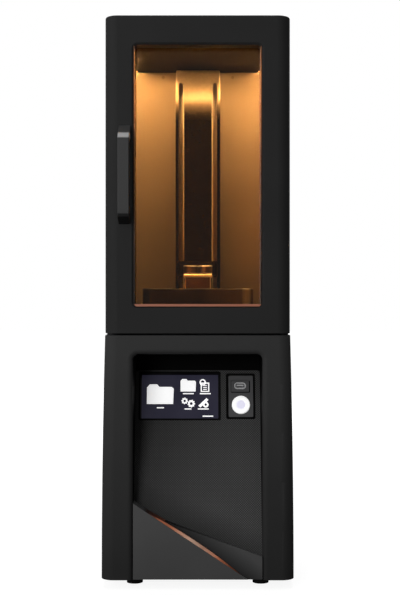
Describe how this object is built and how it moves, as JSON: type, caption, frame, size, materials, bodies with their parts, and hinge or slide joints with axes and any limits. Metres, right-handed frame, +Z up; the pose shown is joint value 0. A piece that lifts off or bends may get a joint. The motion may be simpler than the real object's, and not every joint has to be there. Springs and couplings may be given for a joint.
{
  "type": "resin printer",
  "caption": "Tall bench-top resin printer: charcoal cabinet with a hinged amber-window door, lift tower and vat inside, over a base with a leaning control panel.",
  "frame": {"origin": "middle of the footprint, handle included, at floor level under the feet", "axes": "+Z up, -Y towards the user at the front, +X to the user's right when facing the front"},
  "size_m": [0.2732, 0.359, 0.8097],
  "materials": {
    "base_black": "matte charcoal moulding",
    "door_black": "satin charcoal moulding",
    "cabinet_paint": "fine-textured charcoal powder coat",
    "panel_textured": "charcoal with a fine dot texture",
    "panel_smooth": "smooth satin charcoal",
    "recess_dark": "matte dark grey",
    "accent_copper": "metallic copper paint",
    "handle_black": "satin charcoal",
    "foot_rubber": "matte black",
    "seal_rubber": "matte black",
    "screen_glass": "gloss navy-black cover glass",
    "display_case": "matte dark grey",
    "connector_metal": "bright stamped steel",
    "button_white": "gloss white",
    "black_plastic": "gloss black moulding",
    "amber_pane": "clear amber acrylic",
    "vat_film_clear": "clear film",
    "vat_dark": "gloss near-black",
    "chamber_paint": "satin light grey paint",
    "deck_paint": "satin black paint",
    "lamp_white": "frosted white diffuser",
    "tower_black": "gloss black paint",
    "machined_aluminium": "fine machined",
    "ground_steel": "ground bright steel",
    "nut_brass": "machined",
    "stem_anodised": "dark red anodised",
    "knob_black": "satin black",
    "motor_black": "satin black",
    "hinge_steel": "dark zinc",
    "engine_case": "matte dark grey",
    "supply_case": "perforated sheet",
    "board_green": "green solder mask"
  },
  "bodies": {
    "printer": {"accent_strip": "accent_copper", "base_floor": "cabinet_paint", "base_shell": "base_black", "button_switch": "display_case", "cabinet_shell": "cabinet_paint", "chamber_ceiling": "deck_paint", "control_board": "board_green", "corner_plate": "panel_smooth", "deck_plate": "deck_paint", "display_glass": "screen_glass", "display_module": "display_case", "door_seal": "seal_rubber", "fan_frame": "black_plastic", "front_panel": "panel_textured", "hinge_leaves_cabinet": "hinge_steel", "hinge_pins": "hinge_steel", "lamp_bar": "deck_paint", "lamp_diffuser": "lamp_white", "lift_column": "machined_aluminium", "lift_motor": "motor_black", "lift_rails": "ground_steel", "liner_back": "chamber_paint", "liner_sides": "chamber_paint", "network_socket": "connector_metal", "port_plate": "panel_smooth", "power_inlet": "black_plastic", "power_supply": "supply_case", "projector_body": "engine_case", "projector_lens": "engine_case", "rear_panel": "cabinet_paint", "recess_liner": "recess_dark", "rocker_housing": "black_plastic", "rubber_feet": "foot_rubber", "screw_bearing": "machined_aluminium", "tower_cover": "tower_black", "usb_socket": "connector_metal", "vat_film": "vat_film_clear", "vat_frame": "vat_dark", "wedge_panel": "panel_smooth"},
    "door": {"door_frame": "door_black", "door_window": "amber_pane", "door_liner": "door_black", "door_handle": "handle_black", "hinge_leaves_door": "hinge_steel", "door_magnets": "hinge_steel"},
    "carriage": {"carriage_plate": "machined_aluminium", "carriage_bearings": "ground_steel", "screw_nut": "nut_brass", "build_arm": "machined_aluminium", "platform_stem": "stem_anodised", "build_platform": "machined_aluminium"},
    "screw": {"lead_screw": "ground_steel", "shaft_coupling": "machined_aluminium"},
    "clamp_left": {"clamp_knob_left": "knob_black"},
    "clamp_right": {"clamp_knob_right": "knob_black"},
    "vat_clamp_left": {"vat_knob_left": "knob_black"},
    "vat_clamp_right": {"vat_knob_right": "knob_black"},
    "button": {"power_button": "button_white"},
    "rocker": {"power_rocker": "black_plastic"},
    "fan": {"fan_rotor": "black_plastic"}
  },
  "joints": [
    {"name": "door_hinge", "type": "hinge", "parent": "printer", "child": "door", "pos_m": [0.1262, -0.115, 0.585], "axis": [0, 0, 1], "range_deg": [0, 110]},
    {"name": "lift", "type": "slide", "parent": "printer", "child": "carriage", "axis": [0, 0, 1], "range_m": [0, 0.27]},
    {"name": "screw_turn", "type": "hinge", "parent": "printer", "child": "screw", "pos_m": [0, 0.1155, 0.57], "axis": [0, 0, 1], "continuous": true},
    {"name": "clamp_left_turn", "type": "hinge", "parent": "carriage", "child": "clamp_left", "pos_m": [-0.011, -0.021, 0.454], "axis": [0, 0, 1], "continuous": true},
    {"name": "clamp_right_turn", "type": "hinge", "parent": "carriage", "child": "clamp_right", "pos_m": [0.011, -0.021, 0.454], "axis": [0, 0, 1], "continuous": true},
    {"name": "vat_clamp_left_turn", "type": "hinge", "parent": "printer", "child": "vat_clamp_left", "pos_m": [-0.091, -0.021, 0.377], "axis": [0, 0, 1], "continuous": true},
    {"name": "vat_clamp_right_turn", "type": "hinge", "parent": "printer", "child": "vat_clamp_right", "pos_m": [0.091, -0.021, 0.377], "axis": [0, 0, 1], "continuous": true},
    {"name": "button_press", "type": "slide", "parent": "printer", "child": "button", "axis": [0, 0.9613, -0.2756], "range_m": [0, 0.0015], "stiffness_N_per_m": 400},
    {"name": "rocker_tip", "type": "hinge", "parent": "printer", "child": "rocker", "pos_m": [0.052, 0.1735, 0.118], "axis": [1, 0, 0], "range_deg": [0, 14]},
    {"name": "fan_spin", "type": "hinge", "parent": "printer", "child": "fan", "pos_m": [-0.038, 0.1605, 0.19], "axis": [0, 1, 0], "continuous": true}
  ],
  "couplings": [
    {"joint": "screw_turn", "follows": "lift", "rad_per_m": -1256.6}
  ]
}
